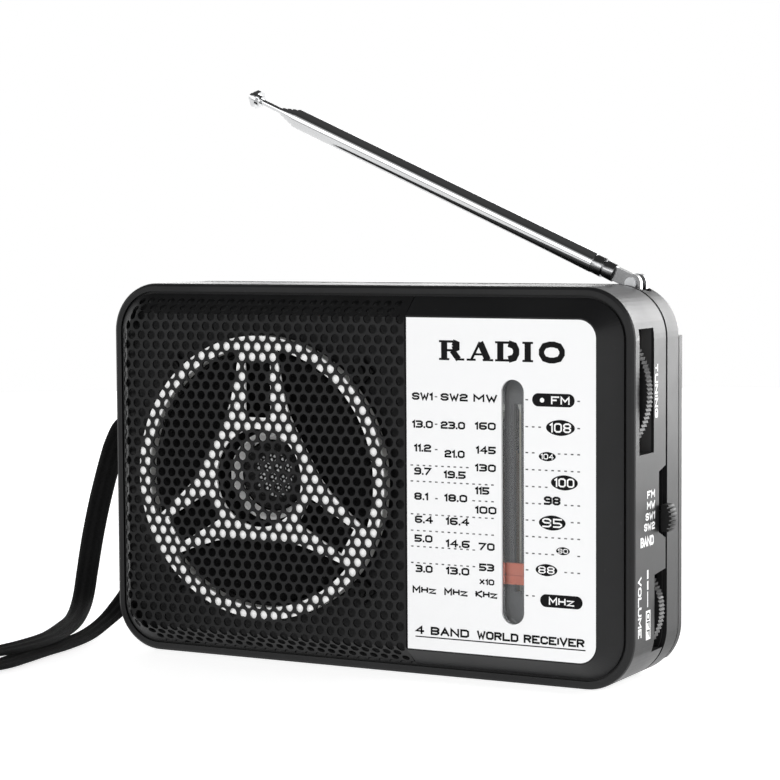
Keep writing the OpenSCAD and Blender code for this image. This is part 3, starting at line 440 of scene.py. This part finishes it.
RINGS_PER_POINT = 8
ROW = 14  # points across each face of the band
HALF_WIDTH, HALF_THICK, RIB = 2.4, 0.42, 0.13  # millimetres; the ribs run along the band
AROUND_MM = 12.0  # once round the band, for the weave
profile = [i / (ROW - 1) * 2 - 1 for i in range(ROW)]
rings = []
strap_path = []
last = len(strap_at) - 1
count = last * RINGS_PER_POINT
for k in range(count + 1):
    s = last * k / count
    p = curve_at(strap_at, s)
    ahead, behind = curve_at(strap_at, min(s + 0.05, last)), curve_at(strap_at, max(s - 0.05, 0))
    d = (ahead - behind).normalized()
    w = curve_at(strap_w, s)
    u = (w - w.dot(d) * d).normalized()
    v = d.cross(u)
    strap_path.append(p * MM)
    ring = []
    for side in (1, -1):
        for a in (profile if side > 0 else reversed(profile)):
            edge = 1 - abs(a) ** 6
            thick = (HALF_THICK + RIB * math.cos(3 * math.pi * a)) * max(edge, 0) ** 0.5
            ring.append((p + HALF_WIDTH * a * u + side * thick * v) * MM)
    rings.append(ring)
verts = [q for ring in rings for q in ring]
n = len(rings[0])
faces, uvs = [], []
run = 0.0
for k in range(count):
    step = (strap_path[k + 1] - strap_path[k]).length / MM
    for j in range(n):
        j2 = (j + 1) % n
        faces.append((k * n + j, k * n + j2, (k + 1) * n + j2, (k + 1) * n + j))
        a0, a1 = j * AROUND_MM / n, (j + 1) * AROUND_MM / n
        uvs.append([(a0, run), (a1, run), (a1, run + step), (a0, run + step)])
    run += step
faces.append(tuple(range(n - 1, -1, -1)))
faces.append(tuple(count * n + j for j in range(n)))
uvs.append([(0, 0)] * n)
uvs.append([(0, 0)] * n)
strap = add_mesh("strap", verts, faces, web.m, True, uvs)
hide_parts("wrist_strap")


# ---------------------------------------------------------------- printing
# Letters drawn as strokes on a grid four wide and six high; each pair of digits is one point.
STROKES = {
    "0": ["10 30 41 45 36 16 05 01 10"], "1": ["05 16 10"], "2": ["05 16 36 45 44 33 13 02 00 40"],
    "3": ["06 36 45 44 33 13", "33 42 41 30 00"], "4": ["30 36 02 42"], "5": ["46 06 03 33 42 41 30 00"],
    "6": ["46 16 05 01 10 30 41 42 33 03"], "7": ["06 46 10"],
    "8": ["13 04 05 16 36 45 44 33 13", "13 02 01 10 30 41 42 33"],
    "9": ["00 30 41 45 36 16 05 04 13 43"],
    ".": ["00 00"], "A": ["00 26 40", "12 32"], "B": ["03 06 36 45 44 33 03", "33 42 41 30 00 03"],
    "C": ["45 36 16 05 01 10 30 41"], "D": ["00 06 36 45 41 30 00"], "E": ["46 06 00 40", "03 33"],
    "F": ["46 06 00", "03 33"], "G": ["45 36 16 05 01 10 30 41 43 23"], "H": ["00 06", "40 46", "03 43"],
    "I": ["00 06"], "K": ["00 06", "46 03 40"], "L": ["06 00 40"], "M": ["00 06 22 46 40"],
    "N": ["00 06 40 46"], "O": ["10 30 41 45 36 16 05 01 10"], "R": ["00 06 36 45 44 33 03", "23 40"],
    "S": ["45 36 16 05 04 13 33 42 41 30 10 01"], "T": ["06 46", "26 20"], "U": ["06 01 10 30 41 46"],
    "V": ["06 20 46"], "W": ["06 10 24 30 46"], "X": ["00 46", "06 40"], "z": ["04 44 00 40"], " ": [],
}
WIDTHS = {"1": 1, ".": 0, "I": 0, " ": 1.5, "M": 4.6, "W": 4.6}
LETTER_WIDTH, LETTER_HEIGHT, LETTER_GAP = 4, 6, 1.7
LAYERS, LAYER_MM = 16, 0.0006
DASH_MM, DASH_PITCH_MM = 0.55, 1.33
CORNERS = 48  # of a round shape


def strip(points, t, cap=True):
    """A stroke of thickness t along some points, as mitred quads; cap lengthens each end by t / 2."""
    pts = [Vector(p) for p in points]
    if (pts[0] - pts[-1]).length < 1e-6 and len(pts) == 2:
        pts = [pts[0] - Vector((t / 2, 0)), pts[0] + Vector((t / 2, 0))]
    closed = (pts[0] - pts[-1]).length < 1e-6
    if cap and not closed and len(points) > 2:
        pts[0] = pts[0] - (pts[1] - pts[0]).normalized() * t / 2
        pts[-1] = pts[-1] + (pts[-1] - pts[-2]).normalized() * t / 2
    verts, last = [], len(pts) - 1
    for i, p in enumerate(pts):
        before = pts[i - 1] if i else (pts[last - 1] if closed else None)
        after = pts[i + 1] if i < last else (pts[1] if closed else None)
        d0 = (p - before).normalized() if before is not None else None
        d1 = (after - p).normalized() if after is not None else None
        d0, d1 = d0 or d1, d1 or d0
        mid = (d0 + d1).normalized()
        across = Vector((-mid.y, mid.x)) * t / 2 / max(mid.dot(d0), 0.5)
        verts += [tuple(p + across), tuple(p - across)]
    return verts, [(2 * i, 2 * i + 1, 2 * i + 3, 2 * i + 2) for i in range(last)]


class Print:
    """Flat printing collected into one piece.

    place turns a point across and up the surface, and its height over it, into metres.
    """

    def __init__(self, place):
        self.place, self.verts, self.faces, self.layer = place, [], [], 0

    def add(self, pts, faces):
        """Each stroke lies a hair above the one before, so that none share a plane."""
        base, self.layer = len(self.verts), (self.layer + 1) % LAYERS
        self.verts += [self.place(p[0], p[1], self.layer * LAYER_MM) for p in pts]
        self.faces += [tuple(base + i for i in f) for f in faces]

    def word(self, text, left, right, middle, height, weight=0.245, down=False):
        """Words between two edges; weight is the stroke's share of the height.

        down turns them clockwise.
        """
        wide, tall = (height, right - left) if down else (right - left, height)
        t = weight * tall
        total = sum(WIDTHS.get(c, LETTER_WIDTH) + LETTER_GAP for c in text) - LETTER_GAP
        sx, sy, x = (wide - t) / total, (tall - t) / LETTER_HEIGHT, 0.0
        for c in text:
            own = WIDTHS[c] / LETTER_WIDTH if c in "MW" else 1
            for stroke in STROKES[c]:
                pts = [
                    (t / 2 + (x + int(q[0]) * own) * sx, t / 2 + int(q[1]) * sy) for q in stroke.split()
                ]
                verts, faces = strip(pts, t)
                if down:
                    verts = [(left + v[1], middle + height / 2 - v[0]) for v in verts]
                else:
                    verts = [(left + v[0], middle - height / 2 + v[1]) for v in verts]
                self.add(verts, faces)
            x += WIDTHS.get(c, LETTER_WIDTH) + LETTER_GAP

    def bar(self, left, right, middle, height):
        lo, hi = middle - height / 2, middle + height / 2
        self.add([(left, lo), (right, lo), (right, hi), (left, hi)], [(0, 1, 2, 3)])

    def pill(self, left, right, middle, height, pointed=0.0):
        """A bar with round ends, or with pointed over 0 an oval; over 1 its ends are pointed."""
        pts, r = [], height / 2
        for i in range(CORNERS):
            a = 2 * math.pi * i / CORNERS
            if pointed:
                x = math.copysign(abs(math.cos(a)) ** pointed, math.cos(a))
                pts.append(((left + right) / 2 + x * (right - left) / 2, middle + r * math.sin(a)))
            else:
                side = right - r if math.cos(a) >= 0 else left + r
                pts.append((side + r * math.cos(a), middle + r * math.sin(a)))
        self.add(pts, [tuple(range(CORNERS))])

    def dashes(self, left, right, middle, gaps):
        """A dashed line that leaves out the gaps."""
        x = left
        while x + 0.5 < right:
            if not any(a < x + DASH_MM and x < b for a, b in gaps):
                self.bar(x, x + DASH_MM, middle, 0.25)
            x += DASH_PITCH_MM

    def build(self, name, mat, slot):
        return add_mesh(name, self.verts, self.faces, mat.m, False)


# All sizes of the printing are millimetres.
PLATE_Y = -16.5  # the dial plate's face
SIDE_X = 58.3  # the case's right side
GREY_LIFT, BLACK_LIFT, WHITE_LIFT = 0.015, 0.03, 0.05  # over the dial plate
SIDE_LIFT, SIDE_DARK_LIFT = 0.02, 0.04
HEAD_Z, UNIT_Z, FOOT_Z = 55.2, 17.6, 9.7  # the dial's first row, its units and its last line
SMALL = 1.45  # height of the small letters
black = Print(lambda x, z, h: at(x, PLATE_Y - BLACK_LIFT - h, z))
grey = Print(lambda x, z, h: at(x, PLATE_Y - GREY_LIFT - h, z))
white = Print(lambda x, z, h: at(x, PLATE_Y - WHITE_LIFT - h, z))
# title: thick uprights, thin bars and serifs; each letter has its place, each stroke its thickness first
TITLE = [
    (0.0, ["1.3 0.6,0 0.6,6", "0.45 0.6,5.8 2.6,5.8", "0.45 0.6,3.0 2.6,3.0",
           "1.2 2.4,5.55 3.3,5.0 3.3,3.8 2.4,3.25", "1.2 2.3,3.0 3.7,0.15", "0.4 -0.5,0.15 1.7,0.15",
           "0.4 -0.5,5.85 0.6,5.85", "0.4 3.0,0.15 4.9,0.15"]),
    (5.9, ["0.5 0.5,0.2 2.3,5.8", "1.35 2.35,5.7 3.95,0.2", "0.4 1.1,1.9 3.3,1.9",
           "0.4 -0.5,0.15 1.4,0.15", "0.4 2.9,0.15 5.1,0.15"]),
    (11.9, ["1.3 0.6,0 0.6,6", "0.45 0.6,5.8 2.6,5.8", "0.45 0.6,0.2 2.6,0.2",
            "1.3 2.3,5.5 3.5,4.9 3.9,3.6 3.9,2.4 3.5,1.1 2.3,0.5", "0.4 -0.5,0.15 0.6,0.15",
            "0.4 -0.5,5.85 0.6,5.85"]),
    (17.6, ["1.3 0.6,0 0.6,6", "0.4 -0.5,0.15 1.7,0.15", "0.4 -0.5,5.85 1.7,5.85"]),
    (20.4, ["1.1 2.3,5.5 1.2,5.0 0.65,3.6 0.65,2.4 1.2,1.0 2.3,0.5 "
            "3.2,0.5 4.3,1.0 4.85,2.4 4.85,3.6 4.3,5.0 3.2,5.5 2.3,5.5"]),
]
TITLE_AT, TITLE_STRETCH = (20.3, 62.4), 0.6
for x0, strokes in TITLE:
    for stroke in strokes:
        thick, *dots = stroke.split()
        pts = [tuple(map(float, q.split(","))) for q in dots]
        line = [(TITLE_AT[0] + x0 + x, TITLE_AT[1] + y * TITLE_STRETCH) for x, y in pts]
        black.add(*strip(line, float(thick), False))
for text, left, right in (("SW1", 13.9, 18.4), ("SW2", 20.1, 25.9), ("MW", 27.1, 32.1)):
    black.word(text, left, right, HEAD_Z, SMALL)
# each number with its left and right edge and its height on the plate
COLUMNS = [
    [("13.0", 13.9, 18.4, 49.8), ("11.2", 14.3, 18.0, 45.2), ("9.7", 14.3, 18.0, 40.7),
     ("8.1", 14.3, 17.3, 35.8), ("6.4", 14.4, 18.3, 31.3), ("5.0", 14.3, 18.2, 27.6),
     ("3.0", 14.5, 18.2, 21.7)],
    [("23.0", 20.1, 25.3, 49.8), ("21.0", 20.9, 25.2, 44.3), ("19.5", 20.7, 25.4, 40.3),
     ("18.0", 20.8, 25.7, 35.8), ("16.4", 21.1, 26.1, 31.3), ("14.6", 21.1, 26.2, 27.0),
     ("13.0", 21.1, 26.1, 21.7)],
    [("160", 27.4, 31.8, 49.9), ("145", 27.6, 31.8, 45.3), ("130", 27.4, 31.8, 41.9),
     ("115", 27.4, 30.4, 37.5), ("100", 27.4, 31.9, 33.8), ("70", 28.1, 31.5, 26.8),
     ("53", 28.2, 31.4, 22.8)],
]
for column in COLUMNS:
    for text, left, right, middle in column:
        black.word(text, left, right, middle, SMALL)
black.word("X10", 28.2, 31.4, 20.0, 1.15)
for text, left, right in (("MHz", 13.8, 18.9), ("MHz", 20.7, 25.7), ("KHz", 27.4, 32.0)):
    black.word(text, left, right, UNIT_Z, 1.4)
grey.dashes(13.5, 32.6, HEAD_Z, [(13.5, 18.7), (19.9, 26.2), (26.8, 32.4)])
for z in (49.9, 45.0, 41.8, 38.7, 35.5, 32.3, 29.1, 26.0, 22.8):
    gaps = [(a - 0.3, b + 0.3) for c in COLUMNS for _, a, b, m in c if abs(m - z) < 0.9]
    grey.dashes(13.5, 32.6, z, gaps)
black.pill(39.4, 48.1, 55.25, 2.5)
black.pill(41.0, 49.7, 17.3, 2.45)
white.pill(41.0, 41.9, HEAD_Z, 0.9)
white.word("FM", 43.3, 47.1, 55.25, 1.5, 0.2)
white.word("MHz", 42.8, 48.0, 17.3, 1.5, 0.19)
for text, x, z, w, h in (
    ("108", 45.2, 50.1, 5.9, 3.0), ("104", 42.5, 44.6, 3.5, 1.75), ("100", 46.0, 39.8, 5.5, 2.85),
    ("95", 43.5, 32.1, 5.5, 2.85), ("90", 45.7, 26.9, 2.8, 1.5), ("88", 42.3, 23.1, 4.5, 2.3),
):
    black.pill(x - w / 2, x + w / 2, z, h, 1.15)
    white.word(text, x - w * 0.37, x + w * 0.37, z, h * 0.6, 0.17)
black.word("98", 41.8, 45.2, 36.3, 1.65, 0.25)
for z, gaps in (
    (HEAD_Z, [(39, 48.4)]), (50.1, [(42, 48.4)]), (45.2, [(40.5, 44.5)]), (42.0, []), (38.8, [(43, 49)]),
    (35.6, [(41.4, 45.6)]), (32.4, [(40.5, 46.5)]), (29.3, []), (26.1, [(44, 47.4)]),
    (22.9, [(39.8, 44.8)]), (18.0, [(40.8, 50)]),
):
    grey.dashes(38.0, 49.2, z, gaps)
black.word("4 BAND", 14.4, 26.0, FOOT_Z, 1.6)
black.word("WORLD RECEIVER", 27.7, 50.1, FOOT_Z, 1.6)
black.bar(14.4, 50.3, 8.4, 0.22)
black.build("dial_print", ink_black, "case_plastic")
grey.build("dial_dashes", ink_grey, "case_plastic")
white.build("dial_print_light", ink_white, "dial_white")

side = Print(lambda y, z, h: at(SIDE_X + SIDE_LIFT + h, y, z))
side.word("TUNING", -1.95, -0.45, 56.5, 10.4, down=True)
BANDS = (("FM", -5.8, 37.0), ("MW", -5.9, 34.95), ("SW1", -6.6, 32.85), ("SW2", -7.3, 30.9))
for text, left, middle in BANDS:
    side.word(text, left, -1.9, middle, SMALL)
side.word("BAND", -9.1, -2.5, 28.2, 1.9)
side.word("VOLUME", -10.3, -8.6, 16.0, 11.6, down=True)
side.bar(-5.85, -5.1, 21.85, 1.7)
side.bar(-5.8, -5.15, 19.75, 1.7)
side.bar(-5.7, -5.3, 17.1, 3.0)
side.bar(-6.4, -4.1, 12.15, 5.6)
side.build("side_print", ink_white, "dial_white")
side_dark = Print(lambda y, z, h: at(SIDE_X + SIDE_DARK_LIFT + h, y, z))
side_dark.word("OFF", -6.0, -4.5, 12.15, 4.7, 0.17, down=True)
side_dark.build("side_print_dark", ink_black, "case_plastic")

# ---------------------------------------------------------------- floor
FLOOR_RADII = (0.2, 0.4, 0.6, 0.8)
floor_mat = Mat("floor", (0.86, 0.86, 0.86), 0.7, 0.0, Emission_Color=(1, 1, 1, 1), Emission_Strength=0.7)
floor_mat.mottle((0.84, 0.84, 0.84), 0.5, 3, 2.0)
floor_verts = [(0, 0, 0)]
for r in FLOOR_RADII:
    for i in range(CORNERS):
        a = 2 * math.pi * i / CORNERS
        floor_verts.append((r * math.cos(a), r * math.sin(a), 0))
ring_of = [[1 + k * CORNERS + i % CORNERS for i in range(CORNERS + 1)] for k in range(len(FLOOR_RADII))]
floor_faces = [(0, ring_of[0][i], ring_of[0][i + 1]) for i in range(CORNERS)]
for near, far in zip(ring_of, ring_of[1:]):
    floor_faces += [(near[i], far[i], far[i + 1], near[i + 1]) for i in range(CORNERS)]
floor_mesh = bpy.data.meshes.new("floor")
floor_mesh.from_pydata(floor_verts, [], floor_faces)
floor = bpy.data.objects.new("floor", floor_mesh)
floor.data.materials.append(floor_mat.m)
scene.collection.objects.link(floor)

# ---------------------------------------------------------------- world
# For what the receiver reflects it is white at the back and sides, nearly black overhead, which
# gives the antenna its dark lines, and a little darker in front, which keeps the plastic black.
world = bpy.data.worlds.new("world")
scene.world = world
world.use_nodes = True
wt = world.node_tree
background = wt.nodes["Background"]
heading = wt.nodes.new("ShaderNodeSeparateXYZ")
wt.links.new(wt.nodes.new("ShaderNodeTexCoord").outputs["Generated"], heading.inputs[0])


def world_range(socket, lo_in, hi_in, lo, hi):
    n = wt.nodes.new("ShaderNodeMapRange")
    n.interpolation_type = "SMOOTHSTEP"
    for key, value in (("From Min", lo_in), ("From Max", hi_in), ("To Min", lo), ("To Max", hi)):
        n.inputs[key].default_value = value
    wt.links.new(socket, n.inputs["Value"])
    return n.outputs["Result"]


def world_math(op, a, b):
    n = wt.nodes.new("ShaderNodeMath")
    n.operation = op
    wt.links.new(a, n.inputs[0])
    wt.links.new(b, n.inputs[1])
    return n.outputs[0]


lowered = world_range(heading.outputs["Y"], -0.8, -0.1, -0.17, 0.0)
height = world_math("ADD", heading.outputs["Z"], lowered)
strength = world_math(
    "MULTIPLY", world_range(height, 0.42, 0.56, 1.0, 0.08),
    world_range(heading.outputs["Y"], -0.6, -0.1, 0.78, 1.0))
# the backdrop that the camera sees is white all round
seen = world_math("MAXIMUM", strength, wt.nodes.new("ShaderNodeLightPath").outputs["Is Camera Ray"])
wt.links.new(seen, background.inputs["Strength"])
background.inputs["Color"].default_value = (1.0, 1.0, 1.0, 1.0)


# ---------------------------------------------------------------- light
def area(name, place, aim_height, size, power):
    """A lamp, size metres wide and high, that points at a height over the middle of the floor."""
    data = bpy.data.lights.new(name, "AREA")
    data.shape = "RECTANGLE"
    data.size, data.size_y = size
    data.energy = power
    obj = bpy.data.objects.new(name, data)
    scene.collection.objects.link(obj)
    obj.location = place
    obj.rotation_mode = "QUATERNION"
    obj.rotation_quaternion = (Vector(place) - Vector((0, 0, aim_height))).to_track_quat("Z", "Y")
    obj.visible_camera = False


area("light_right", (0.6, 1.25, 0.3), 0.04, (1.5, 0.7), 22)
area("light_front", (-0.35, -1.65, 0.6), 0.03, (1.3, 0.7), 7.4)
area("light_rear", (-0.75, 1.4, 0.2), 0.04, (1.2, 0.4), 4.6)
area("light_near", (0.95, -0.75, 0.35), 0.04, (0.5, 0.5), 3)
scene.view_settings.view_transform = "Standard"
